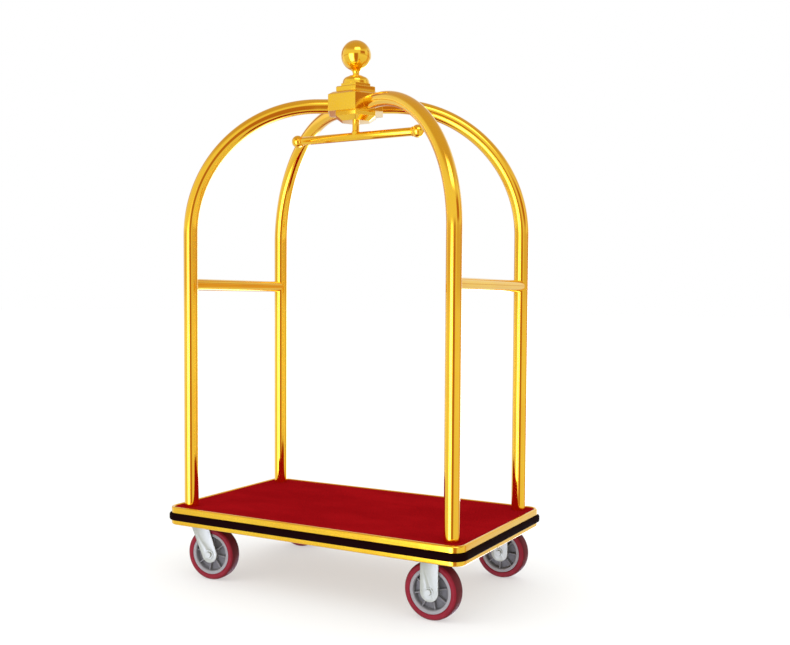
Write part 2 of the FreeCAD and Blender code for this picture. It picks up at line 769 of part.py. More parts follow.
# swivel casters at the left end, each fork standing at its own small angle
for side in (-1, 1):
    name = "swivel_%s_" % sideNames[side]
    yaw = swivelYaw[sideNames[side]]
    save(placed(swivelPlate(), -1, side), name + "plate")
    save(placed(raceBalls(), -1, side), name + "race_balls")
    save(placed(swivelFork(), -1, side, 0, yaw), name + "fork")
    for shape, part in ((coreShape(), "wheel_core"), (tyreShape(), "tyre"), (bearingPair(), "bearings"),
                        (axleBolt(), "axle_bolt"), (axleNut(), "axle_nut"), (axleSleeve(), "axle_sleeve")):
        save(placed(shape, -1, side, swivelOffset, yaw, wheelRadius), name + part)
for shape, node in ((kingPin(), "king_pins"), (kingNut(), "king_nuts")):
    save(Part.makeCompound([placed(shape, -1, side) for side in (-1, 1)]), node)
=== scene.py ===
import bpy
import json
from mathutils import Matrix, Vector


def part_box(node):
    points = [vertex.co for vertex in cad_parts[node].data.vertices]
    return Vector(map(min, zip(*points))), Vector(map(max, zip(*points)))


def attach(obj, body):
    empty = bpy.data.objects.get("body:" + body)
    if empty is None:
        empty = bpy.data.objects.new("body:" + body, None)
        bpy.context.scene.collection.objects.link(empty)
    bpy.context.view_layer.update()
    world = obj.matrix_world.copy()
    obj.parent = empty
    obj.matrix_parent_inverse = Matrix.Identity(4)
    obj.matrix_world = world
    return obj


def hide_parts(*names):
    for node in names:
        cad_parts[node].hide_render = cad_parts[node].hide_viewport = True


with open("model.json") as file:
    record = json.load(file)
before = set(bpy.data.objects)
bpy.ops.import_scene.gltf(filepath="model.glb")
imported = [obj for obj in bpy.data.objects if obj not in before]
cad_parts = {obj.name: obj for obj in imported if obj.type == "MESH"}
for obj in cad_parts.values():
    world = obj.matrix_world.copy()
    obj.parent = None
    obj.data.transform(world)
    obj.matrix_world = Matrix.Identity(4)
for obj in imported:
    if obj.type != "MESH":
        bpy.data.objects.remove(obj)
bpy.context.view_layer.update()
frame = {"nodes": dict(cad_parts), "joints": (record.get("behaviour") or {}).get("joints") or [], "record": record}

import json
import math
import random
import bmesh
import bpy
from mathutils import Matrix, Vector, noise
from mathutils.geometry import delaunay_2d_cdt

mm = 0.001
print("frame loaded, %d nodes" % len(frame["nodes"]))


def middle(node):
    low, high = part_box(node)
    return (low + high) / 2


def size(node):
    low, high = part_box(node)
    return high - low


def setInputs(node, values):
    # a value is another node's output or a fixed value
    for name, value in values.items():
        socket = node.inputs[name]
        if isinstance(value, bpy.types.NodeSocket):
            node.id_data.links.new(value, socket)
        else:
            socket.default_value = (*value, 1.0) if socket.type == "RGBA" else value


def addNode(kind, values=None, tree=None, **settings):
    # the node joins the tree of the outputs that feed it, unless a tree is given
    if tree is None:
        tree = next(value.id_data for value in values.values() if isinstance(value, bpy.types.NodeSocket))
    node = tree.nodes.new(kind)
    for name, value in settings.items():
        setattr(node, name, value)
    setInputs(node, values or {})
    return node.outputs


def mathNode(operation, first, second=0.0, clamp=False):
    return addNode("ShaderNodeMath", {0: first, 1: second}, operation=operation, use_clamp=clamp)[0]


def times(first, second, clamp=False):
    return mathNode("MULTIPLY", first, second, clamp)


def plus(first, second):
    return mathNode("ADD", first, second)


def minus(first, second):
    return mathNode("SUBTRACT", first, second)


def larger(first, second):
    return mathNode("MAXIMUM", first, second)


def remap(value, fromLow, fromHigh, toLow=0.0, toHigh=1.0, smooth=False):
    kind = "SMOOTHSTEP" if smooth else "LINEAR"
    ends = {"Value": value, "From Min": fromLow, "From Max": fromHigh, "To Min": toLow, "To Max": toHigh}
    return addNode("ShaderNodeMapRange", ends, interpolation_type=kind)["Result"]


def noiseNode(where, scale, detail=2.0, rough=0.5, distortion=0.0):
    values = {"Vector": where, "Scale": scale, "Detail": detail, "Roughness": rough, "Distortion": distortion}
    return addNode("ShaderNodeTexNoise", values)["Fac"]


def stretch(where, amounts, turn=(0, 0, 0)):
    return addNode("ShaderNodeMapping", {"Vector": where, "Rotation": turn, "Scale": amounts})["Vector"]


def mixColour(factor, first, second):
    return addNode("ShaderNodeMix", {0: factor, 6: first, 7: second}, data_type="RGBA")[2]


def roundedNormal(tree, radius):
    return addNode("ShaderNodeBevel", {"Radius": radius}, tree, samples=4)["Normal"]


def bump(height, strength, distance, softEdge=None):
    values = {"Height": height, "Strength": strength, "Distance": distance}
    if softEdge:
        values["Normal"] = roundedNormal(height.id_data, softEdge)
    return addNode("ShaderNodeBump", values)["Normal"]


def newGroup(name, amounts, results):
    # an effect takes the place on the surface and some amounts, and gives masks or heights
    tree = bpy.data.node_groups.new(name, "ShaderNodeTree")
    tree.interface.new_socket(name="Where", in_out="INPUT", socket_type="NodeSocketVector")
    for label, value in amounts.items():
        socket = tree.interface.new_socket(name=label, in_out="INPUT", socket_type="NodeSocketFloat")
        socket.default_value = value
    for label in results:
        tree.interface.new_socket(name=label, in_out="OUTPUT", socket_type="NodeSocketFloat")
    return tree, tree.nodes.new("NodeGroupInput").outputs, tree.nodes.new("NodeGroupOutput")


def useGroup(group, where, **amounts):
    return addNode("ShaderNodeGroup", {"Where": where, **amounts}, node_tree=group)


# effects that several finishes share
def buildScratches():
    # thin crossing hairlines, thicker in some places than in others
    tree, given, out = newGroup("hairline scratches", {"Density": 1.0, "Amount": 0.5}, ["Lines"])
    lines = 0.0
    for turn, amounts in (((0.4, 0.3, 0.2), (9, 210, 60)), ((1.1, 0.7, 1.5), (7, 60, 230)),
                          ((0.2, 1.9, 0.8), (190, 8, 75))):
        laid = stretch(given["Where"], amounts, turn)
        wave = noiseNode(laid, given["Density"], 1.0, 0.4, 0.4)
        near = mathNode("ABSOLUTE", minus(wave, 0.5))
        lines = larger(lines, remap(near, 0.0, 0.012, 1.0, 0.0))
    patches = remap(noiseNode(given["Where"], 14.0, 2.0), 0.42, 0.62)
    setInputs(out, {"Lines": times(times(lines, patches), given["Amount"], True)})
    return tree


def buildSmudges():
    # broad soft marks that hands and cloths leave
    tree, given, out = newGroup("hand smudges", {"Size": 9.0, "Amount": 0.5}, ["Smudge"])
    broad = noiseNode(given["Where"], given["Size"], 4.0, 0.6, 0.8)
    fine = noiseNode(given["Where"], 130.0, 3.0, 0.6)
    marks = times(remap(broad, 0.45, 0.72, smooth=True), remap(fine, 0.2, 0.8))
    setInputs(out, {"Smudge": times(marks, given["Amount"], True)})
    return tree


def buildEdgeWear():
    # a broken mask along outside edges, from how far a rounded normal leans off the flat one
    tree, given, out = newGroup("edge wear", {"Width": 0.002, "Amount": 0.6}, ["Wear"])
    rounded = roundedNormal(tree, given["Width"])
    flat = addNode("ShaderNodeNewGeometry", tree=tree)["Normal"]
    lean = addNode("ShaderNodeVectorMath", {0: rounded, 1: flat}, operation="DOT_PRODUCT")["Value"]
    broken = remap(noiseNode(given["Where"], 160.0, 4.0, 0.65), 0.38, 0.6)
    both = times(remap(lean, 0.99, 0.86), broken)
    setInputs(out, {"Wear": times(both, given["Amount"], True)})
    return tree


def buildGrain():
    # the fine skin of moulded plastic, rubber and powder coat
    tree, given, out = newGroup("moulded grain", {"Scale": 900.0}, ["Height", "Mottle"])
    pits = noiseNode(given["Where"], given["Scale"], 3.0, 0.6)
    broad = noiseNode(given["Where"], 26.0, 3.0, 0.55)
    setInputs(out, {"Height": pits, "Mottle": remap(broad, 0.3, 0.7)})
    return tree


scratches = buildScratches()
smudges = buildSmudges()
edgeWear = buildEdgeWear()
grain = buildGrain()


def newFinish(name):
    material = bpy.data.materials.new(name)
    material.use_nodes = True
    tree = material.node_tree
    return material, tree.nodes["Principled BSDF"], addNode("ShaderNodeTexCoord", tree=tree)["Object"]


def goldFinish(name, look):
    # gold plate on polished metal: hairlines, smudges and a faint waviness left by the buff
    material, shader, where = newFinish(name)
    marks = useGroup(scratches, where, Density=look["hairlines"], Amount=look["scratch"])[0]
    smudge = useGroup(smudges, where, Size=look["smudgeSize"], Amount=look["smudge"])[0]
    tone = remap(noiseNode(where, 5.0, 3.0), 0.3, 0.7)
    colour = mixColour(tone, look["deep"], look["bright"])
    rough = plus(look["roughness"], times(smudge, 0.16))
    wavy = noiseNode(where, look["buffScale"], 2.0)
    height = minus(times(wavy, look["buff"]), marks)
    setInputs(shader, {
        "Base Color": mixColour(times(smudge, 0.5), colour, look["dull"]),
        "Roughness": plus(rough, times(marks, 0.18)),
        "Metallic": 1.0, "Coat Weight": look["lacquer"], "Coat Roughness": 0.05,
        "Normal": bump(height, look["relief"], 0.0002, look["softEdge"])})
    return material


tubeGold = {"deep": (0.92, 0.52, 0.012), "bright": (0.97, 0.60, 0.020), "dull": (0.88, 0.50, 0.03),
            "roughness": 0.085, "scratch": 0.35, "hairlines": 1.0, "smudge": 0.35, "smudgeSize": 7.0,
            "lacquer": 0.7, "buff": 0.7, "buffScale": 16.0, "relief": 0.08, "softEdge": None}
rimGold = {"deep": (0.92, 0.53, 0.016), "bright": (0.97, 0.61, 0.026), "dull": (0.86, 0.49, 0.05),
           "roughness": 0.17, "scratch": 0.6, "hairlines": 1.2, "smudge": 0.5, "smudgeSize": 10.0,
           "lacquer": 0.6, "buff": 1.2, "buffScale": 40.0, "relief": 0.12, "softEdge": None}
castGold = {**rimGold, "deep": (0.92, 0.53, 0.018), "bright": (0.97, 0.61, 0.030), "roughness": 0.14,
            "scratch": 0.5, "hairlines": 1.3, "smudgeSize": 12.0, "lacquer": 0.55, "buff": 1.6,
            "buffScale": 60.0, "relief": 0.16, "softEdge": 0.0008}


def carpetFinish():
    # short cut pile: dense tufts, some leaning, with slow bands where it has been brushed; the low pile between
    # the tufts is painted darker as painted shade
    look = {"tuft": 380.0, "red": (0.38, 0.0050, 0.0080), "gapShadeRed": (0.235, 0.0025, 0.0045),
            "brushed": (0.43, 0.0070, 0.0105), "pileDepth": 0.0016}
    material, shader, where = newFinish("cut pile carpet")
    tufts = addNode("ShaderNodeTexVoronoi", {"Vector": where, "Scale": look["tuft"], "Randomness": 1.0})
    near = remap(tufts["Distance"], 0.0, 0.75, 1.0, 0.0)
    lean = noiseNode(where, 700.0, 2.0)
    bands = noiseNode(stretch(where, (1.0, 2.2, 1.0)), 3.2, 4.0, 0.6)
    brushed = remap(bands, 0.35, 0.7, smooth=True)
    # painted shade: darker where the pile is lower, between the tufts
    shade = times(near, remap(lean, 0.25, 0.75, 0.55, 1.0))
    colour = mixColour(shade, look["gapShadeRed"], look["red"])
    height = plus(near, times(lean, 0.5))
    setInputs(shader, {
        "Base Color": mixColour(times(brushed, 0.35), colour, look["brushed"]),
        "Roughness": remap(brushed, 0.0, 1.0, 0.86, 0.96), "Specular IOR Level": 0.0,
        "Sheen Weight": 0.03, "Sheen Roughness": 0.45, "Sheen Tint": (0.9, 0.04, 0.05),
        "Normal": bump(height, 0.9, look["pileDepth"])})
    return material


def rubberFinish():
    look = {"black": (0.0068, 0.0006, 0.0010), "scuffed": (0.014, 0.005, 0.005), "roughness": 0.55}
    material, shader, where = newFinish("black bumper rubber")
    skin = useGroup(grain, where, Scale=1100.0)
    wear = useGroup(edgeWear, where, Width=0.004, Amount=0.5)[0]
    rub = useGroup(scratches, where, Density=0.5, Amount=0.7)[0]
    scuff = times(larger(times(wear, 0.5), rub), skin["Mottle"])
    setInputs(shader, {
        "Base Color": mixColour(scuff, look["black"], look["scuffed"]),
        "Roughness": plus(look["roughness"], times(skin["Mottle"], 0.12)),
        "Specular IOR Level": 0.02, "Normal": bump(skin["Height"], 0.25, 0.0003)})
    return material


def plywoodFinish():
    look = {"pale": (0.60, 0.42, 0.25), "dark": (0.36, 0.21, 0.10)}
    material, shader, where = newFinish("birch plywood")
    figure = noiseNode(stretch(where, (1.2, 26.0, 26.0)), 3.0, 5.0, 0.6, 0.6)
    fibre = noiseNode(stretch(where, (12.0, 420.0, 420.0)), 2.0, 3.0, 0.6)
    plies = addNode("ShaderNodeTexWave", {"Vector": where, "Scale": 110.0, "Distortion": 0.4},
                    bands_direction="Z")["Fac"]
    shade = plus(times(figure, 0.7), times(fibre, 0.3))
    shade = times(shade, remap(plies, 0.0, 1.0, 0.85, 1.0))
    setInputs(shader, {
        "Base Color": mixColour(remap(shade, 0.3, 0.65), look["dark"], look["pale"]),
        "Roughness": remap(fibre, 0.3, 0.7, 0.55, 0.72), "Normal": bump(fibre, 0.3, 0.0004)})
    return material


def powderFinish():
    look = {"coat": (0.022, 0.022, 0.025), "bare": (0.30, 0.29, 0.28)}
    material, shader, where = newFinish("black powder coat")
    skin = useGroup(grain, where, Scale=420.0)
    wear = useGroup(edgeWear, where, Width=0.0015, Amount=0.8)[0]
    setInputs(shader, {
        "Base Color": mixColour(wear, look["coat"], look["bare"]),
        "Roughness": remap(skin["Mottle"], 0.0, 1.0, 0.38, 0.52),
        "Metallic": times(wear, 0.9), "Normal": bump(skin["Height"], 0.35, 0.0003)})
    return material


def zincFinish():
    # bright zinc plate: faint crystal patches, drawn sheet lines and duller worn edges
    look = {"bright": (0.55, 0.575, 0.535), "grey": (0.47, 0.495, 0.455), "worn": (0.40, 0.40, 0.38),
            "roughness": 0.44}
    material, shader, where = newFinish("zinc plate")
    crystals = addNode("ShaderNodeTexVoronoi", {"Vector": where, "Scale": 160.0})["Color"]
    patch = addNode("ShaderNodeSeparateColor", {"Color": crystals})[0]
    cloud = noiseNode(where, 45.0, 4.0, 0.6)
    tone = plus(times(patch, 0.15), times(cloud, 0.8))
    wear = useGroup(edgeWear, where, Width=0.0012, Amount=0.5)[0]
    marks = useGroup(scratches, where, Density=1.6, Amount=0.7)[0]
    colour = mixColour(remap(tone, 0.3, 0.8), look["grey"], look["bright"])
    rough = plus(look["roughness"], times(tone, 0.14))
    setInputs(shader, {
        "Base Color": mixColour(wear, colour, look["worn"]),
        "Roughness": plus(rough, times(marks, 0.12)), "Metallic": 0.45,
        "Normal": bump(minus(cloud, marks), 0.15, 0.0002, 0.0006)})
    return material


def steelFinish():
    look = {"bright": (0.62, 0.63, 0.65), "oiled": (0.33, 0.31, 0.28)}
    material, shader, where = newFinish("ground steel")
    film = useGroup(smudges, where, Size=40.0, Amount=0.8)[0]
    ground = noiseNode(stretch(where, (40, 900, 40)), 3.0)
    setInputs(shader, {
        "Base Color": mixColour(film, look["bright"], look["oiled"]),
        "Roughness": remap(film, 0.0, 1.0, 0.16, 0.38), "Metallic": 1.0,
        "Normal": bump(ground, 0.1, 0.0001, 0.0004)})
    return material


def castFinish():
    look = {"pale": (0.55, 0.55, 0.56), "dark": (0.34, 0.34, 0.35)}
    material, shader, where = newFinish("sand cast aluminium")
    skin = useGroup(grain, where, Scale=500.0)
    setInputs(shader, {
        "Base Color": mixColour(skin["Mottle"], look["dark"], look["pale"]),
        "Roughness": remap(skin["Mottle"], 0.0, 1.0, 0.5, 0.65), "Metallic": 0.9,
        "Normal": bump(skin["Height"], 0.5, 0.0006)})
    return material


def nylonFinish():
    # the axle is the local Y axis; the pockets between the ribs are painted darker, a painted shade where less
    # light reaches
    look = {"grey": (0.345, 0.335, 0.350), "shade": (0.29, 0.28, 0.295), "grime": (0.12, 0.11, 0.105),
            "worn": (0.48, 0.47, 0.48), "pocketShade": (0.17, 0.165, 0.175), "pocketFrom": 0.0225,
            "pocketTo": 0.0140}
    material, shader, where = newFinish("moulded grey nylon")
    skin = useGroup(grain, where, Scale=800.0)
    wear = useGroup(edgeWear, where, Width=0.0015, Amount=0.35)[0]
    dirt = useGroup(smudges, where, Size=30.0, Amount=0.35)[0]
    across = addNode("ShaderNodeSeparateXYZ", {"Vector": where})["Y"]
    # painted shade: this mask darkens the pockets between the ribs
    deep = remap(mathNode("ABSOLUTE", across), look["pocketFrom"], look["pocketTo"], smooth=True)
    colour = mixColour(skin["Mottle"], look["shade"], look["grey"])
    colour = mixColour(times(deep, 0.8), colour, look["pocketShade"])
    colour = mixColour(dirt, colour, look["grime"])
    setInputs(shader, {
        "Base Color": mixColour(wear, colour, look["worn"]),
        "Roughness": remap(skin["Mottle"], 0.0, 1.0, 0.40, 0.54),
        "Normal": bump(skin["Height"], 0.3, 0.0003, 0.0006)})
    return material


def tyreFinish():
    # cast polyurethane: glossy clean side and a darker tread with some soil on it; the axle is the local Y axis
    look = {"side": (0.27, 0.010, 0.024), "deep": (0.21, 0.007, 0.018), "tread": (0.085, 0.0030, 0.008),
            "soil": (0.050, 0.016, 0.016), "treadFrom": 0.0895, "treadTo": 0.0925}
    material, shader, where = newFinish("cast red polyurethane")
    parts = addNode("ShaderNodeSeparateXYZ", {"Vector": where})
    flat = addNode("ShaderNodeCombineXYZ", {"X": parts["X"], "Z": parts["Z"]})[0]
    away = addNode("ShaderNodeVectorMath", {0: flat}, operation="LENGTH")["Value"]
    onTread = remap(away, look["treadFrom"], look["treadTo"], smooth=True)
    skin = useGroup(grain, where, Scale=700.0)
    soil = useGroup(smudges, where, Size=24.0, Amount=0.9)[0]
    lines = useGroup(scratches, where, Density=1.4, Amount=0.8)[0]
    colour = mixColour(skin["Mottle"], look["deep"], look["side"])
    colour = mixColour(times(onTread, 0.75), colour, look["tread"])
    grime = times(onTread, larger(soil, lines))
    height = minus(skin["Height"], times(lines, onTread))
    setInputs(shader, {
        "Base Color": mixColour(grime, colour, look["soil"]),
        "Roughness": plus(remap(onTread, 0.0, 1.0, 0.40, 0.55), times(soil, 0.15)),
        "Specular IOR Level": 0.18, "Normal": bump(height, 0.2, 0.0003)})
    return material


finishes = {
    "polished_gold": goldFinish("polished gold plate", tubeGold),
    "anodised_gold": goldFinish("anodised gold rim", rimGold),
    "red_carpet": carpetFinish(),
    "bumper_rubber": rubberFinish(),
    "deck_plywood": plywoodFinish(),
    "frame_paint": powderFinish(),
    "zinc_steel": zincFinish(),
    "bearing_steel": steelFinish(),
    "cast_aluminium": castFinish(),
    "grey_nylon": nylonFinish(),
    "red_polyurethane": tyreFinish(),
}
hubGold = goldFinish("cast gold plate", castGold)
slotOf = {part["node"]: part["material_slot"] for part in frame["record"]["subparts"]}
for name, node in frame["nodes"].items():
    for holder in node.material_slots:
        holder.material = finishes[slotOf[name]]
print("finishes built")


# mesh making
def roundCorners(points, steps=5, closed=False):
    # points are (a, b) or (a, b, radius); a radius turns that corner into an arc
    out = []
    count = len(points)
    for i, point in enumerate(points):
        radius = point[2] if len(point) > 2 else 0.0
        here = Vector(point[:2])
        if radius <= 0 or (not closed and i in (0, count - 1)):
            out.append(tuple(here))
            continue
        back = Vector(points[i - 1][:2]) - here
        ahead = Vector(points[(i + 1) % count][:2]) - here
        half = back.angle(ahead) / 2
        reach = min(radius / math.tan(half), 0.49 * back.length, 0.49 * ahead.length)
        radius = reach * math.tan(half)
        back.normalize()
        ahead.normalize()
        centre = here + (back + ahead).normalized() * (radius / math.sin(half))
        first = here + back * reach - centre
        last = here + ahead * reach - centre
        turn = first.angle_signed(last)
        for k in range(steps + 1):
            out.append(tuple(centre + Matrix.Rotation(-turn * k / steps, 2) @ first))
    return out


def arc(x, y, radius, fromTurn, toTurn, steps, first=0):
    turns = [fromTurn + (toTurn - fromTurn) * i / steps for i in range(first, steps + 1)]
    return [(x + radius * math.cos(turn), y + radius * math.sin(turn)) for turn in turns]


def circle(radius, count=48, x=0.0, y=0.0):
    return arc(x, y, radius, 0.0, 2 * math.pi, count)[:-1]


def strip(low, high):
    # four-cornered faces between two rings of point numbers
    ring = range(len(low))
    return [[low[i], low[i - 1], high[i - 1], high[i]] for i in ring]


def latheShape(profile, segments=96, closed=False):
    # profile is (distance from the axis, height) pairs; the axis is Z
    points = []
    faces = []
    rows = []
    for r, z in profile:
        if r < 1e-7:
            rows.append([len(points)] * segments)
            points.append((0, 0, z))
        else:
            rows.append(list(range(len(points), len(points) + segments)))
            points += [(x, y, z) for x, y in circle(r, segments)]
    for low, high in zip(rows, rows[1:] + rows[:closed]):
        for face in strip(low, high):
            kept = [c for k, c in enumerate(face) if c != face[k - 1]]
            if len(kept) > 2:
                faces.append(kept)
    return points, faces


def rodShape(radius, low, high, segments):
    return latheShape([(0, low), (radius, low), (radius, high), (0, high)], segments)


def loopShape(section, stations):
    # a closed outline of (outward, up) pairs carried round stations of (place, outward)
    count = len(section)
    points = []
    faces = []
    for place, outward in stations:
        points += [place + outward * a + Vector((0, 0, b)) for a, b in section]
    rows = [range(start, start + count) for start in range(0, len(points), count)]
    for low, high in zip(rows, rows[1:] + rows[:1]):
        faces += strip(low, high)
    return points, faces


def pipeShape(skins):
    # skins are the outer and the inner wall, each a list of rings of points
    count = len(skins[0][0])
    rows = len(skins[0])
    points = [point for skin in skins for ring in skin for point in ring]
    rings = [range(start, start + count) for start in range(0, len(points), count)]
    faces = strip(rings[0], rings[rows]) + strip(rings[rows - 1], rings[-1])
    for row in range(rows - 1):
        faces += strip(rings[row], rings[row + 1]) + strip(rings[rows + row], rings[rows + row + 1])
    return points, faces


def prismShape(outline, start, end, axis):
    # an outline of (a, b) pairs pushed along an axis: "X" takes (y, z), "Y" takes (x, z), "Z" takes (x, y)
    def point(a, b, along):
        return {"X": (along, a, b), "Y": (a, along, b), "Z": (a, b, along)}[axis]
    count = len(outline)
    points = [point(a, b, along) for along in (start, end) for a, b in outline]
    near = list(range(count))
    far = list(range(count, 2 * count))
    return points, strip(near, far) + [near, far]


def movedShape(shape, matrix):
    return [matrix @ Vector(p) for p in shape[0]], shape[1]


def shadeMesh(mesh, sharpAngle=35.0):
    mesh.shade_smooth()
    mesh.set_sharp_from_angle(angle=math.radians(sharpAngle))
    return mesh


def newMesh(name, shape, sharpAngle=35.0):
    mesh = bpy.data.meshes.new(name)
    mesh.from_pydata([tuple(p) for p in shape[0]], [], shape[1])
    work = bmesh.new()
    work.from_mesh(mesh)
    bmesh.ops.recalc_face_normals(work, faces=work.faces)
    work.to_mesh(mesh)
    work.free()
    return shadeMesh(mesh, sharpAngle)


def newObject(name, data):
    item = bpy.data.objects.new(name, data)
    bpy.context.scene.collection.objects.link(item)
    return item


def addPiece(node, mesh, body="cart", place=Matrix.Identity(4), finish=None):
    # the piece stands for the node and takes its name and finish; mesh may be points and faces
    first, *others = node.split("_")
    name = first + "".join(word.capitalize() for word in others)
    if isinstance(mesh, tuple):
        mesh = newMesh(name, mesh)
    piece = newObject(name, mesh)
    piece.matrix_world = place
    if not mesh.materials:
        mesh.materials.append(finish or finishes[slotOf[node]])
    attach(piece, body)
    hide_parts(node)
    return piece


def combine(shape, steps, edge=0.0, sharpAngle=35.0):
    # joins, cuts or trims the shape with others, then rounds its sharp edges; gives a finished mesh
    base = newObject("base", newMesh("base", shape))
    helpers = []
    for operation, other in steps:
        helper = newObject("helper", newMesh("helper", other))
        modifier = base.modifiers.new("shape", "BOOLEAN")
        modifier.operation = operation
        modifier.solver = "EXACT"
        modifier.object = helper
        helpers.append(helper)
    if edge:
        rounding = base.modifiers.new("rounding", "BEVEL")
        rounding.width = edge
        rounding.segments = 2
        rounding.limit_method = "ANGLE"
        rounding.angle_limit = math.radians(32)
        rounding.harden_normals = True
    bpy.context.view_layer.update()
    mesh = bpy.data.meshes.new_from_object(base.evaluated_get(bpy.context.evaluated_depsgraph_get()))
    for item in helpers + [base]:
        bpy.data.objects.remove(item)
    return shadeMesh(mesh, sharpAngle)


# bow tubes
bowTube = {"radius": 25.5 * mm, "wall": 1.5 * mm, "bend": 462 * mm, "endsAt": 62 * mm, "around": 72,
           "bendSteps": 56, "straightStep": 60 * mm}
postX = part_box("bow_tube_front_right")[1].x - bowTube["radius"]
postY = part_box("bow_tube_rear_right")[1].y - bowTube["radius"]
posts = [Vector((sx * postX, sy * postY)) for sx in (-1, 1) for sy in (-1, 1)]


def bowTubePiece(side, end):
    node = "bow_tube_%s_%s" % (side, end)
    low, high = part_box(node)
    foot = Vector((postX if end == "right" else -postX, postY if side == "rear" else -postY, 0))
    outward = foot.normalized()
    upward = Vector((0, 0, 1))
    across = upward.cross(outward)
    bend = bowTube["bend"]
    crest = high.z - bowTube["radius"]
    bendStart = crest - bend
    straights = round((bendStart - low.z) / bowTube["straightStep"])
    centreLine = [(foot.length, low.z + (bendStart - low.z) * i / straights, 0.0) for i in range(straights)]
    for i in range(bowTube["bendSteps"] + 1):
        turn = math.pi / 2 * i / bowTube["bendSteps"]
        away = foot.length - bend * (1 - math.cos(turn))
        centreLine.append((away, bendStart + bend * math.sin(turn), turn))
    centreLine.append((bowTube["endsAt"], crest, math.pi / 2))
    skins = ([], [])
    for away, z, turn in centreLine:
        centre = outward * away + upward * z
        level = outward * math.cos(turn) + upward * math.sin(turn)
        for skin, wall in zip(skins, (0.0, bowTube["wall"])):
            section = circle(bowTube["radius"] - wall, bowTube["around"])
            skin.append([centre + level * a + across * b for a, b in section])
    addPiece(node, pipeShape(skins))


for side in ("front", "rear"):
    for end in ("left", "right"):
        bowTubePiece(side, end)
print("bow tubes made")


# side rails
sideRail = {"wall": 1.5 * mm, "around": 64, "along": 24}


def sideRailPiece(end):
    # a tube whose ends are coped to fit round the posts
    node = "side_rail_" + end
    skins = ([], [])
    for skin, wall in zip(skins, (0.0, sideRail["wall"])):
        ring = circle(size(node).x / 2 - wall, sideRail["around"])
        reach = [postY - math.sqrt(bowTube["radius"] ** 2 - x ** 2) for x, _ in ring]
        for row in range(sideRail["along"] + 1):
            share = 2 * row / sideRail["along"] - 1
            skin.append([(x, share * y, z) for (x, z), y in zip(ring, reach)])
    addPiece(node, pipeShape(skins), place=Matrix.Translation(middle(node)))


for end in ("left", "right"):
    sideRailPiece(end)


# crown, made of stacked hexagons with rounded corners
crown = {"cornerRound": 2.2 * mm, "edgeRound": 1.3 * mm, "hexSlope": math.cos(math.radians(30))}
edge = crown["edgeRound"]
hubBody = {"wall": 4 * mm, "insideRound": 1 * mm, "shoulder": 11 * mm, "shoulderRound": 2.08 * mm,
           "topRadius": 92 * mm, "topInner": 80 * mm, "roof": 2 * mm, "studHole": 6.3 * mm,
           "studDepth": 8 * mm, "tubeGap": 0.3 * mm, "boreFrom": 60 * mm, "boreTo": 150 * mm, "past": 5 * mm}
hubCap = {"step": 21 * mm, "overlap": 0.8 * mm, "narrow": 60 * mm, "bevel": 3 * mm, "foot": 5 * mm,
          "topInner": 12 * mm, "footRound": 0.5 * mm, "creaseRound": 0.6 * mm}
hubBase = {"inner": 14 * mm, "bottom": 56 * mm, "slopeEnd": 80 * mm, "band": 82 * mm, "bandRise": 16 * mm,
           "flange": 108 * mm, "topInner": 100 * mm}


def hexOutline(radius, cornerRound):
    corners = [(x, y, cornerRound) for x, y in circle(radius, 6)]
    return roundCorners(corners, 4, closed=True)


def hexStack(profile):
    # like a lathe, but each level is a hexagon; profile is (corner radius, height)
    rings = [hexOutline(radius, crown["cornerRound"]) for radius, _ in profile]
    points = [(x, y, z) for ring, (_, z) in zip(rings, profile) for x, y in ring]
    count = len(rings[0])
    rows = [list(range(start, start + count)) for start in range(0, len(points), count)]
    faces = [rows[0], rows[-1]]
    for low, high in zip(rows, rows[1:]):
        faces += strip(low, high)
    return points, faces


def hubBodyPiece():
    low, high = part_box("hub_body")
    radius = high.x
    shoulder = high.z - hubBody["shoulder"]
    outline = roundCorners([(radius, low.z, edge), (radius, shoulder, hubBody["shoulderRound"]),
                            (hubBody["topRadius"], high.z, edge), (hubBody["topInner"], high.z)], 4)
    inside = hexOutline(radius - hubBody["wall"] / crown["hexSlope"], hubBody["insideRound"])
    hollow = prismShape(inside, low.z - hubBody["past"], shoulder - hubBody["roof"], "Z")
    hole = rodShape(hubBody["studHole"], shoulder - hubBody["studDepth"], high.z + hubBody["past"], 32)
    bore = rodShape(bowTube["radius"] + hubBody["tubeGap"], hubBody["boreFrom"], hubBody["boreTo"], 64)
    cuts = [hollow, hole]
    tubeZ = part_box("bow_tube_front_left")[1].z - bowTube["radius"]
    for post in posts:
        turn = post.to_3d().normalized().to_track_quat("Z", "Y").to_matrix().to_4x4()
        cuts.append(movedShape(bore, Matrix.Translation((0, 0, tubeZ)) @ turn))
    mesh = combine(hexStack([(radius - edge, low.z)] + outline), [("DIFFERENCE", cut) for cut in cuts])
    addPiece("hub_body", mesh, finish=hubGold)


def hubCapPiece():
    low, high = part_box("hub_cap")
    step = low.z + hubCap["step"]
    wide = high.x + hubCap["overlap"]
    narrow = hubCap["narrow"]
    bevel = hubCap["bevel"]
    outline = roundCorners([(wide - hubCap["foot"], low.z), (wide, low.z, hubCap["footRound"]),
                            (wide, step - bevel, edge), (wide - bevel / crown["hexSlope"], step, edge),
                            (narrow, step, hubCap["creaseRound"]), (narrow, high.z, edge),
                            (narrow - hubCap["topInner"], high.z)], 4)
    addPiece("hub_cap", hexStack(outline), finish=hubGold)


def hubBasePiece():
    low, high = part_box("hub_base")
    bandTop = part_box("hub_body")[0].z
    bandLow = low.z + hubBase["bandRise"]
    outline = roundCorners([(hubBase["inner"], low.z), (hubBase["bottom"], low.z, edge),
                            (hubBase["slopeEnd"], bandLow, 0.3 * mm), (hubBase["band"], bandLow, 0.5 * mm),
                            (hubBase["band"], bandTop, 0.4 * mm), (hubBase["flange"], bandTop, 0.2 * mm),
                            (hubBase["flange"], high.z, 0.3 * mm), (hubBase["topInner"], high.z)], 4)
    addPiece("hub_base", hexStack(outline), finish=hubGold)


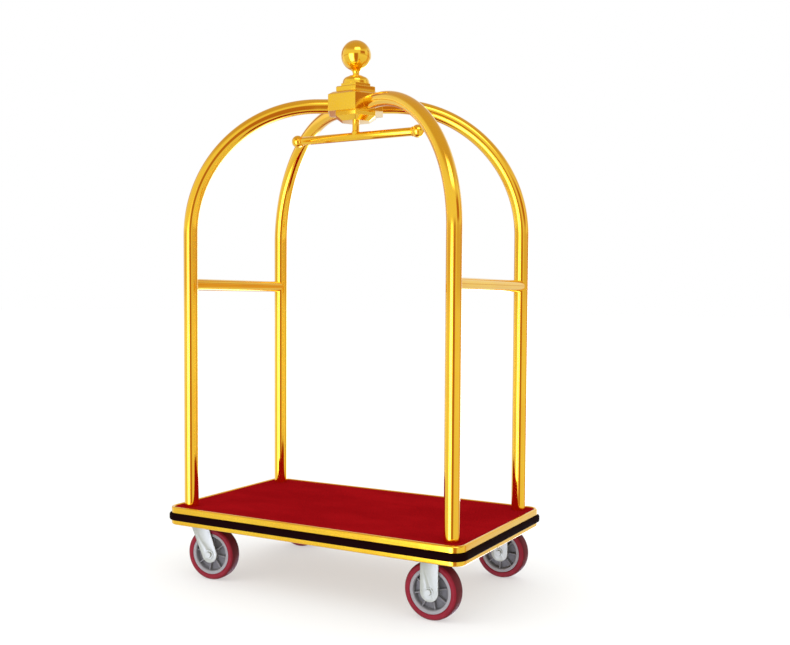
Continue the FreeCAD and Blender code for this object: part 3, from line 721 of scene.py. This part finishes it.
hubDome = {"foot": 5 * mm, "shoulder": 48.5 * mm, "step": 30 * mm, "stepRise": 27.5 * mm, "lip": 1.8 * mm,
           "crown": 14 * mm, "squareness": (0.85, 0.92)}


def hubDomePiece():
    low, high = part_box("hub_dome")
    step = hubDome["step"]
    foot = low.z + hubDome["foot"]
    ledge = low.z + hubDome["stepRise"]
    stepTop = ledge + hubDome["lip"]
    points = roundCorners([(0, low.z), (high.x, low.z, 0.5 * mm), (high.x, foot, 1.5 * mm),
                           (hubDome["shoulder"], foot)], 5)
    flatness, fullness = hubDome["squareness"]
    for cosine, sine in arc(0, 0, 1, 0, math.pi / 2, 16):  # a little squarer than a circle
        away = step + (hubDome["shoulder"] - step) * cosine ** flatness
        points.append((away, foot + (ledge - foot) * sine ** fullness))
    points += roundCorners([(step, ledge), (step, stepTop, 0.7 * mm), (step - hubDome["lip"], stepTop)], 4)
    wide = step - hubDome["lip"] - hubDome["crown"]
    for cosine, sine in arc(0, 0, 1, 0, math.pi / 2, 10, 1):
        points.append((hubDome["crown"] + wide * cosine, stepTop + (high.z - stepTop) * sine))
    addPiece("hub_dome", latheShape(points + [(0, high.z)], 112), finish=hubGold)


finial = {"neck": 11.5 * mm, "flare": 18 * mm, "foot": 13.4 * mm, "footStart": 6 * mm}


def finialPiece():
    low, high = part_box("finial_ball")
    radius = high.x
    neck = finial["neck"]
    foot = finial["foot"]
    flare = finial["flare"]
    centre = high.z - radius
    drop = math.sqrt((radius + flare) ** 2 - (neck + flare) ** 2)
    start = math.atan2(-drop, neck + flare)
    neckLine = [(finial["footStart"], low.z), (foot, low.z, 0.5 * mm), (foot, low.z + 2.6 * mm, 0.9 * mm),
                (neck, low.z + 4.2 * mm, 1.0 * mm), (neck, centre - drop - 2 * mm)]
    points = [(0, low.z)] + roundCorners(neckLine, 4)
    # a hollow curve up to the ball, then the ball
    points += arc(neck + flare, centre - drop, flare, math.pi, math.pi + start, 12)
    points += arc(0, centre, radius, start, math.pi / 2, 48, 1)
    addPiece("finial_ball", latheShape(points, 128))


# hanging bar on its rod
hanger = {"rod": 12.5 * mm, "collar": 2.6 * mm, "flange": 20 * mm, "flangeThick": 6 * mm, "barWall": 2 * mm,
          "endRound": 0.5 * mm, "knobStart": 20 * mm, "knobCollar": 2.5 * mm, "knobNeck": 0.8 * mm}


def hangerPieces():
    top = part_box("hanger_rod")[1].z
    centre = middle("hanging_bar")
    half = size("hanging_bar").x / 2
    barRadius = size("hanging_bar").z / 2
    rod = hanger["rod"]
    collar = rod + hanger["collar"]
    under = top - hanger["flangeThick"]
    barTop = centre.z + barRadius
    outline = [(0, centre.z + 4 * mm), (collar, centre.z + 4 * mm), (collar, barTop + 1.5 * mm, 2.0 * mm),
               (rod, barTop + 4 * mm, 1.5 * mm), (rod, under, 0.1 * mm),
               (hanger["flange"], under, 0.5 * mm), (hanger["flange"], top, 0.5 * mm), (0, top)]
    addPiece("hanger_rod", latheShape(roundCorners(outline, 4), 64))
    alongX = Matrix.Rotation(math.pi / 2, 4, "Y")
    inner = barRadius - hanger["barWall"]
    endRound = hanger["endRound"]
    tube = [(inner, -half), (barRadius, -half, endRound), (barRadius, half, endRound), (inner, half)]
    bar = latheShape(roundCorners(tube, 3, closed=True), 64, closed=True)
    addPiece("hanging_bar", movedShape(bar, alongX), place=Matrix.Translation(centre))
    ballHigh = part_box("bar_end_balls")[1]
    ball = size("bar_end_balls").z / 2
    collar = barRadius + hanger["knobCollar"]
    neck = barRadius - hanger["knobNeck"]
    start = half - hanger["knobStart"]
    knob = roundCorners([(0, start), (inner, start, 1 * mm), (inner, half, 0.01 * mm), (collar, half, 0.8 * mm),
                         (collar, half + 4 * mm, 1.2 * mm), (neck, half + 5.5 * mm)], 4)
    knob += arc(0, ballHigh.x - ball, ball, -math.acos(neck / ball), math.pi / 2, 32)
    right = movedShape(latheShape(knob, 72), alongX)
    left = movedShape(right, Matrix.Rotation(math.pi, 4, "Z"))
    count = len(right[0])
    both = right[0] + left[0], right[1] + [[count + i for i in face] for face in left[1]]
    addPiece("bar_end_balls", both, place=Matrix.Translation((0, centre.y, centre.z)))


hubBodyPiece()
hubCapPiece()
hubBasePiece()
hubDomePiece()
finialPiece()
hangerPieces()
print("crown and hanging bar made")


# deck edge
deckEdge = {"step": 45 * mm, "cornerSteps": 20, "seam": 0.5 * mm, "bead": 12 * mm, "web": 3 * mm,
            "proud": 8 * mm, "corner": 42 * mm, "gap": 0.5 * mm, "nose": 5.5 * mm, "innerNose": 4.4 * mm,
            "lipRound": 0.6 * mm, "webRound": 0.3 * mm, "bumperRound": 7 * mm, "seamDepth": 2 * mm}


def deckOutline(halfX, halfY, corner):
    # points round the deck with their outward directions, starting at the middle of the rear side
    around = []

    def straight(start, end, outward):
        count = max(1, round((end - start).length / deckEdge["step"]))
        around.extend((start.lerp(end, i / count), outward) for i in range(count))
    place = Vector((0, halfY, 0))
    outward = Vector((0, 1, 0))
    for quarter, (sx, sy) in enumerate(((-1, 1), (-1, -1), (1, -1), (1, 1))):
        centre = Vector((sx * (halfX - corner), sy * (halfY - corner), 0))
        straight(place, centre + outward * corner, outward)
        fromTurn = math.pi / 2 * (quarter + 1)
        for x, y in arc(0, 0, 1, fromTurn, fromTurn + math.pi / 2, deckEdge["cornerSteps"])[:-1]:
            around.append((centre + Vector((x, y, 0)) * corner, Vector((x, y, 0))))
        outward = Vector((-outward.y, outward.x, 0))
        place = centre + outward * corner
    straight(place, Vector((0, halfY, 0)), outward)
    return around


def edgePiece(node, section, corner):
    # a strip bent round the deck, with a fine butt joint at the middle of the rear side
    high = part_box(node)[1]
    seam = deckEdge["seam"]
    stations = deckOutline(high.x, high.y, corner)[1:]
    row = len(stations)
    stations += [(Vector((offset, high.y, 0)), Vector((0, 1, 0))) for offset in (1.5 * seam, -1.5 * seam)]
    points, faces = loopShape(section, stations)
    count = len(section)
    for i, (outward, _) in enumerate(section):  # the two cut ends draw in a little, which shows as the joint
        if outward > -deckEdge["seamDepth"]:
            for index in (row * count + i, (row + 1) * count + i):
                points[index].y -= seam
    addPiece(node, newMesh(node, (points, faces), 40))


def deckRimPiece():
    low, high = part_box("deck_rim")
    grooveLow, grooveHigh = (corner.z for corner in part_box("bumper_strip"))
    grooveLow -= deckEdge["gap"]
    grooveHigh += deckEdge["gap"]
    bead = deckEdge["bead"]
    groove = deckEdge["web"] - bead
    nose = deckEdge["nose"]
    lip = deckEdge["lipRound"]
    small = deckEdge["webRound"]
    section = roundCorners([(0, high.z, nose), (0, grooveHigh, lip), (groove, grooveHigh, small),
                            (groove, grooveLow, small), (0, grooveLow, lip), (0, low.z, nose),
                            (-bead, low.z, deckEdge["innerNose"]), (-bead, high.z, nose)], 7, closed=True)
    edgePiece("deck_rim", section, deckEdge["corner"])


def bumperPiece():
    low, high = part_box("bumper_strip")
    depth = deckEdge["proud"] + deckEdge["bead"] - deckEdge["web"]
    nose = deckEdge["bumperRound"]
    section = roundCorners([(0, high.z, nose), (0, low.z, nose), (-depth, low.z, 0.4 * mm),
                            (-depth, high.z, 0.4 * mm)], 8, closed=True)
    edgePiece("bumper_strip", section, deckEdge["corner"] + deckEdge["proud"])


deckRimPiece()
bumperPiece()
print("rim and bumper made")


# carpet
carpet = {"grid": 9 * mm, "holeGap": 0.5 * mm, "edgeRound": 2.2 * mm, "pileWave": 0.35 * mm, "pileScale": 90,
          "corner": 30 * mm, "jitter": 0.18, "clear": 0.7, "seed": 4}


def carpetPiece():
    low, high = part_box("deck_carpet")
    draw = random.Random(carpet["seed"])
    halfX = high.x
    halfY = high.y
    corner = carpet["corner"]
    grid = carpet["grid"]
    outer = roundCorners([(halfX, halfY, corner), (-halfX, halfY, corner), (-halfX, -halfY, corner),
                          (halfX, -halfY, corner)], 12, closed=True)
    points = []
    for a, b in zip(outer, outer[1:] + outer[:1]):  # even spacing keeps the fill regular
        steps = max(1, round((Vector(b) - Vector(a)).length / grid))
        points += [Vector(a).lerp(Vector(b), i / steps) for i in range(steps)]
    edges = [(i, (i + 1) % len(points)) for i in range(len(points))]
    holeRadius = bowTube["radius"] + carpet["holeGap"]
    for post in posts:
        hole = [post + Vector(c) for c in circle(holeRadius, 40)]
        edges += [(len(points) + i, len(points) + (i + 1) % len(hole)) for i in range(len(hole))]
        points += hole

    def room(spot):
        # how far a spot is inside the carpet's edge, and how far from the nearest post
        inX = max(abs(spot.x) - (halfX - corner), 0)
        inY = max(abs(spot.y) - (halfY - corner), 0)
        inside = corner - math.hypot(inX, inY)
        if inX == 0 and inY == 0:
            inside = min(halfX - abs(spot.x), halfY - abs(spot.y))
        return inside, min((spot - post).length for post in posts)
    columns = round(2 * halfX / grid)
    rows = round(2 * halfY / grid)
    clear = grid * carpet["clear"]
    for i in range(1, columns):
        for j in range(1, rows):
            spot = Vector((-halfX + 2 * halfX * i / columns, -halfY + 2 * halfY * j / rows))
            spot += Vector((draw.uniform(-1, 1), draw.uniform(-1, 1))) * grid * carpet["jitter"]
            inside, away = room(spot)
            if inside > clear and away > holeRadius + clear:
                points.append(spot)
    flat, _, faces, _, _, _ = delaunay_2d_cdt(points, edges, [], 0, 1e-6)
    work = bmesh.new()
    corners = [work.verts.new((p.x, p.y, high.z)) for p in flat]
    for face in faces:
        centre = sum((flat[i] for i in face), Vector((0, 0))) / len(face)
        inside, away = room(centre)
        if inside >= 0 and away > holeRadius * 0.999:
            work.faces.new([corners[i] for i in face])
    bmesh.ops.delete(work, geom=[v for v in work.verts if not v.link_faces], context="VERTS")
    made = bmesh.ops.extrude_face_region(work, geom=list(work.faces))["geom"]
    thick = high.z - low.z
    for item in made:
        if isinstance(item, bmesh.types.BMVert):
            item.co.z -= thick
    bmesh.ops.recalc_face_normals(work, faces=work.faces)
    topZ = high.z - 1e-6
    topEdges = [line for line in work.edges if all(v.co.z > topZ for v in line.verts)
                and any(abs(face.normal.z) < 0.5 for face in line.link_faces)]
    bmesh.ops.bevel(work, geom=topEdges, offset=carpet["edgeRound"], segments=3, profile=0.6, affect="EDGES",
                    clamp_overlap=True)
    for vert in work.verts:  # the pile stands a little uneven
        if vert.co.z > topZ:
            vert.co.z -= carpet["pileWave"] * (0.5 + 0.5 * noise.noise(vert.co * carpet["pileScale"]))
    mesh = bpy.data.meshes.new("deckCarpet")
    work.to_mesh(mesh)
    work.free()
    piece = addPiece("deck_carpet", shadeMesh(mesh, 50))


carpetPiece()
print("carpet laid")


# wheels, made round Z and then laid along Y
wheel = {"segments": 144, "radius": 95 * mm, "tyreHalf": 26 * mm, "shoulder": 9 * mm, "coreRadius": 73.5 * mm,
         "crownHalf": 18.5 * mm, "crownDrop": 1.2 * mm, "coreHalf": 24 * mm, "rimInner": 61.5 * mm,
         "hub": 24 * mm, "hubHalf": 27 * mm, "webHalf": 4 * mm, "bearing": 17.5 * mm,
         "bearingDeep": 12 * mm, "bore": 10 * mm,
         "small": 0.9 * mm, "ribs": 8, "ribThick": 5 * mm, "ribHalf": 16 * mm,
         "roll": {"rigid_front": 9, "rigid_rear": 26, "swivel_front": 31, "swivel_rear": 48}}
axleAlongY = Matrix.Rotation(math.pi / 2, 4, "X")


def wheelShape(half, middleLine, steps, segments):
    # a profile for one side, mirrored to the other; points are (radius, across, rounding)
    profile = half + middleLine + [(r, -z, c) for r, z, c in reversed(half)]
    outline = roundCorners(profile, steps, closed=True)
    return movedShape(latheShape(outline, segments, closed=True), axleAlongY)


def tyreMesh():
    half = wheel["tyreHalf"]
    inner = wheel["coreRadius"]
    outer = wheel["radius"]
    side = outer - wheel["shoulder"]
    upperHalf = [(inner, half - 1.5 * mm, 0.2 * mm), (inner + 3.5 * mm, half, 1.5 * mm),
                 (side, half, 1.4 * mm), (side + 0.9 * mm, half - 0.5 * mm, 0.5 * mm),
                 (outer - 2.4 * mm, half - 5.2 * mm, 3.0 * mm)]
    crownLine = [(outer - wheel["crownDrop"] * abs(t) ** 2.2, -wheel["crownHalf"] * t)
                 for t in (-0.9, -0.6, -0.3, 0, 0.3, 0.6, 0.9)]
    return newMesh("tyre", wheelShape(upperHalf, crownLine, 5, wheel["segments"]), 30)


def coreMesh():
    # rim, web, hub and ribs of the moulded centre
    half = wheel["coreHalf"]
    small = wheel["small"]
    rimIn = wheel["rimInner"]
    web = wheel["webHalf"]
    hub = wheel["hub"]
    hubHalf = wheel["hubHalf"]
    bearing = wheel["bearing"]
    seat = hubHalf - wheel["bearingDeep"]
    upperHalf = [(wheel["bore"], seat, 0.2 * mm), (bearing, seat, 0.2 * mm), (bearing, hubHalf, small),
                 (hub, hubHalf, small), (hub, web, 2.5 * mm), (rimIn - 1.5 * mm, web, 2.5 * mm),
                 (rimIn, half - 3 * mm, 1.5 * mm), (rimIn + 2.5 * mm, half, small),
                 (wheel["coreRadius"], half, small)]
    t = wheel["ribThick"] / 2
    h = wheel["ribHalf"]
    e = h - 1 * mm
    blade = [(-t, -e), (-t + small, -h), (t - small, -h), (t, -e), (t, e), (t - small, h),
             (-t + small, h), (-t, e)]
    points, faces = prismShape(blade, hub - 1.5 * mm, rimIn + 1.0 * mm, "X")
    rib = ([(x, z, y) for x, y, z in points], faces)
    turns = [2 * math.pi * (i + 0.5) / wheel["ribs"] for i in range(wheel["ribs"])]
    ribs = [("UNION", movedShape(rib, Matrix.Rotation(turn, 4, "Y"))) for turn in turns]
    return combine(wheelShape(upperHalf, [], 4, 96), ribs, sharpAngle=32)


def jointOf(body):
    return [joint for joint in frame["joints"] if joint["child"] == body][0]


tyre = tyreMesh()
core = coreMesh()
for side in ("front", "rear"):
    for kind, end in (("rigid", "right"), ("swivel", "left")):
        body = "wheel_%s_%s" % (end, side)
        joint = jointOf(body)
        lean = Vector((0, 1, 0)).rotation_difference(Vector(joint["axis"])).to_matrix().to_4x4()
        place = Matrix.Translation(joint["pos_m"]) @ lean
        caster = kind + "_" + side
        roll = Matrix.Rotation(math.radians(wheel["roll"][caster]), 4, "Y")
        addPiece(caster + "_tyre", tyre, body, place)
        addPiece(caster + "_wheel_core", core, body, place @ roll)
print("wheels made")


# caster forks, of sheet folded over the wheel and trimmed to the outline of its legs
fork = {"sheet": 3.5 * mm, "halfWidth": 33 * mm, "bend": 6 * mm, "axleHole": 6.2 * mm, "axleZ": 95 * mm,
        "rigidHalf": 32 * mm, "rigidEnd": 32 * mm, "swivelTopHalf": 36 * mm, "swivelEnd": 30 * mm,
        "offset": 42 * mm, "edge": 0.7 * mm}
race = {"crown": 199 * mm, "top": 203.2 * mm, "outer": 32 * mm, "pitch": 24 * mm, "groove": 3.6 * mm,
        "grooveZ": 203.5 * mm, "hole": 6.05 * mm}


def forkMesh(topHalf, top, axleX, endRadius, extra=()):
    out = fork["halfWidth"]
    inner = out - fork["sheet"]
    under = top - fork["sheet"]
    innerBend = fork["bend"] - fork["sheet"]
    axleZ = fork["axleZ"]
    low = axleZ - endRadius - 5 * mm
    fold = [(-out, low), (-out, top, fork["bend"]), (out, top, fork["bend"]), (out, low), (inner, low),
            (inner, under, innerBend), (-inner, under, innerBend), (-inner, low)]
    fold = prismShape(roundCorners(fold, 6, closed=True), -0.12, 0.14, "X")
    legTop = top + 1 * mm
    lean = math.atan2(axleX, legTop - axleZ)
    leg = [(-topHalf, legTop), (topHalf, legTop)] + arc(axleX, axleZ, endRadius, lean, lean - math.pi, 24)
    hole = circle(fork["axleHole"], 32, axleX, axleZ)
    steps = [("INTERSECT", prismShape(leg, -0.05, 0.05, "Y")),
             ("DIFFERENCE", prismShape(hole, -0.05, 0.05, "Y"))]
    return combine(fold, steps + list(extra), fork["edge"], 40)


def rigidForks():
    mesh = forkMesh(fork["rigidHalf"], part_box("rigid_front_fork")[1].z, 0.0, fork["rigidEnd"])
    for node in ("rigid_front_fork", "rigid_rear_fork"):
        centre = middle(node)
        addPiece(node, mesh, place=Matrix.Translation((centre.x, centre.y, 0)))


def swivelForks():
    dip = race["grooveZ"] - race["top"]
    side = math.sqrt(race["groove"] ** 2 - dip ** 2)
    start = math.atan2(-dip, side)
    under = race["crown"] - 2 * mm
    profile = roundCorners([(0, under), (race["outer"], under, 0.1 * mm),
                            (race["outer"], race["top"], 1.0 * mm), (race["pitch"] + side, race["top"])], 4)
    profile += arc(race["pitch"], race["grooveZ"], race["groove"], start, -math.pi - start, 12, 1)[:-1]
    profile += [(race["pitch"] - side, race["top"]), (0, race["top"])]
    bore = prismShape(circle(race["hole"], 32), 0.17, 0.22, "Z")
    extra = [("UNION", latheShape(profile, 64)), ("DIFFERENCE", bore)]
    mesh = forkMesh(fork["swivelTopHalf"], race["crown"], fork["offset"], fork["swivelEnd"], extra)
    for side in ("front", "rear"):
        king = Vector(jointOf("swivel_" + side)["pos_m"])
        trail = Vector(jointOf("wheel_left_" + side)["pos_m"]) - king
        turn = Matrix.Rotation(math.atan2(trail.y, trail.x), 4, "Z")
        place = Matrix.Translation((king.x, king.y, 0)) @ turn
        addPiece("swivel_%s_fork" % side, mesh, "swivel_" + side, place)


rigidForks()
swivelForks()
print("forks made")


# a pale floor and a plain room that only the metal mirrors. Each patch of the room is left, right, low,
# high, softness and colour: degrees round the room from behind the camera, and the direction's height
studio = {"backdrop": 1.0, "floorGlow": 0.48, "floor": (0.50, 0.50, 0.495), "key": 28.0, "fill": 12.0,
          "walls": (0.93, 0.93, 0.92), "under": (0.86, 0.84, 0.80), "shade": (0.50, 0.21, 0.12),
          "doorway": (0.78, 0.50, 0.26), "ceiling": (0.66, 0.50, 0.36), "ambient": (1.13, 1.13, 1.12),
          "window": (5.0, 5.1, 6.6), "lamp": (3.6, 3.8, 4.8), "glint": (1.1, 1.1, 1.1),
          "lowPatches": [(-11, 18, -0.85, 0.12, 5, "shade"), (100, 122, -0.6, 0.30, 5, "doorway"),
                         (-141, -124, 0.16, 0.60, 5, "shade")],
          "highPatches": [(36, 74, 0.12, 0.42, 5, "shade"), (106, 123, 0.34, 0.47, 5, "shade"),
                          (-52, -20, -0.75, 0.06, 6, "window"), (-8, 38, 0.55, 0.76, 8, "lamp"),
                          (-121, -108, -0.35, 0.15, 4, "glint"), (-176, -158, -0.80, 0.12, 4, "shade"),
                          (150, 168, -0.75, 0.06, 4, "window")]}
shot = {"place": (1.8597, -3.0281, 1.0159), "yaw": 29.21, "pitch": -2.715, "roll": 0.34, "lens": 44.617,
        "lift": 0.03}


def addFloor():
    mesh = newMesh("floor", ([(-60, -60, 0), (60, -60, 0), (60, 60, 0), (-60, 60, 0)], [[0, 1, 2, 3]]))
    floor = newObject("floor", mesh)
    floor.visible_glossy = False  # polished tubes see the room instead
    material, shader, where = newFinish("pale lit floor")
    cloud = noiseNode(where, 1.5, 3.0)
    pale = studio["floor"]
    setInputs(shader, {
        "Base Color": mixColour(cloud, pale, tuple(c * 1.01 for c in pale)), "Roughness": 0.9,
        "Specular IOR Level": 0.0, "Emission Color": (1.0, 1.0, 0.995),
        "Emission Strength": studio["floorGlow"]})
    mesh.materials.append(material)


def band(value, low, high, soft):
    rise = remap(value, low - soft, low + soft, smooth=True)
    fall = remap(value, high - soft, high + soft, 1.0, 0.0, smooth=True)
    return times(rise, fall)


def addWorld():
    world = bpy.data.worlds.new("studio room")
    bpy.context.scene.world = world
    world.use_nodes = True
    tree = world.node_tree
    direction = addNode("ShaderNodeTexCoord", tree=tree)["Generated"]
    turned = addNode("ShaderNodeVectorRotate", {"Vector": direction, "Angle": math.radians(-shot["yaw"])},
                     rotation_type="Z_AXIS")[0]
    parts = addNode("ShaderNodeSeparateXYZ", {"Vector": turned})
    around = times(mathNode("ARCTAN2", parts["X"], times(parts["Y"], -1.0)), 180 / math.pi)
    height = parts["Z"]
    room = mixColour(remap(height, -0.05, -0.35), studio["walls"], studio["under"])
    room = mixColour(remap(height, 0.42, 0.70, smooth=True), room, studio["ceiling"])

    def paint(room, patches):
        for left, right, low, high, soft, colour in patches:
            mask = times(band(around, left, right, soft), band(height, low, high, 0.08))
            room = mixColour(mask, room, studio[colour])
        return room
    room = paint(room, studio["lowPatches"])
    skirting = times(band(height, 0.0, 0.09, 0.02),
                     remap(mathNode("ABSOLUTE", around), 20, 40, 0.0, 0.45))
    room = paint(mixColour(skirting, room, studio["shade"]), studio["highPatches"])
    path = addNode("ShaderNodeLightPath", tree=tree)
    lit = mixColour(path["Is Glossy Ray"], studio["ambient"], room)
    shown = mixColour(path["Is Camera Ray"], lit, (studio["backdrop"],) * 3)
    setInputs(tree.nodes["Background"], {"Color": shown})


def addLight(name, place, aim, width, power, warmth=(1, 1, 1)):
    data = bpy.data.lights.new(name, "AREA")
    data.shape = "RECTANGLE"
    data.size = width
    data.size_y = width * 1.4
    data.energy = power
    data.color = warmth
    light = newObject(name, data)
    light.location = place
    light.rotation_euler = (Vector(aim) - Vector(place)).to_track_quat("-Z", "Y").to_euler()
    light.visible_glossy = False  # polished metal mirrors the room alone


def addCamera():
    yaw = math.radians(shot["yaw"])
    pitch = math.radians(shot["pitch"])
    roll = math.radians(shot["roll"])
    ahead = Vector((-math.sin(yaw) * math.cos(pitch), math.cos(yaw) * math.cos(pitch), math.sin(pitch)))
    right = ahead.cross(Vector((0, 0, 1))).normalized()
    above = right.cross(ahead)
    rolledRight = right * math.cos(roll) + above * math.sin(roll)
    rolledUp = above * math.cos(roll) - right * math.sin(roll)
    data = bpy.data.cameras.new("camera")
    data.sensor_width = 36
    data.lens = shot["lens"]
    data.shift_y = shot["lift"]
    camera = newObject("camera", data)
    turn = Matrix((rolledRight, rolledUp, -ahead)).transposed().to_4x4()
    camera.matrix_world = Matrix.Translation(shot["place"]) @ turn
    bpy.context.scene.camera = camera


addFloor()
addWorld()
addLight("key light", (-2.2, -3.0, 3.4), (0, 0, 0.9), 2.2, studio["key"], (1.0, 0.98, 0.95))
addLight("fill light", (3.4, -1.2, 2.6), (0, 0, 0.8), 2.4, studio["fill"])
addCamera()
bpy.context.scene.view_settings.view_transform = "Standard"
print("floor, light and camera set")
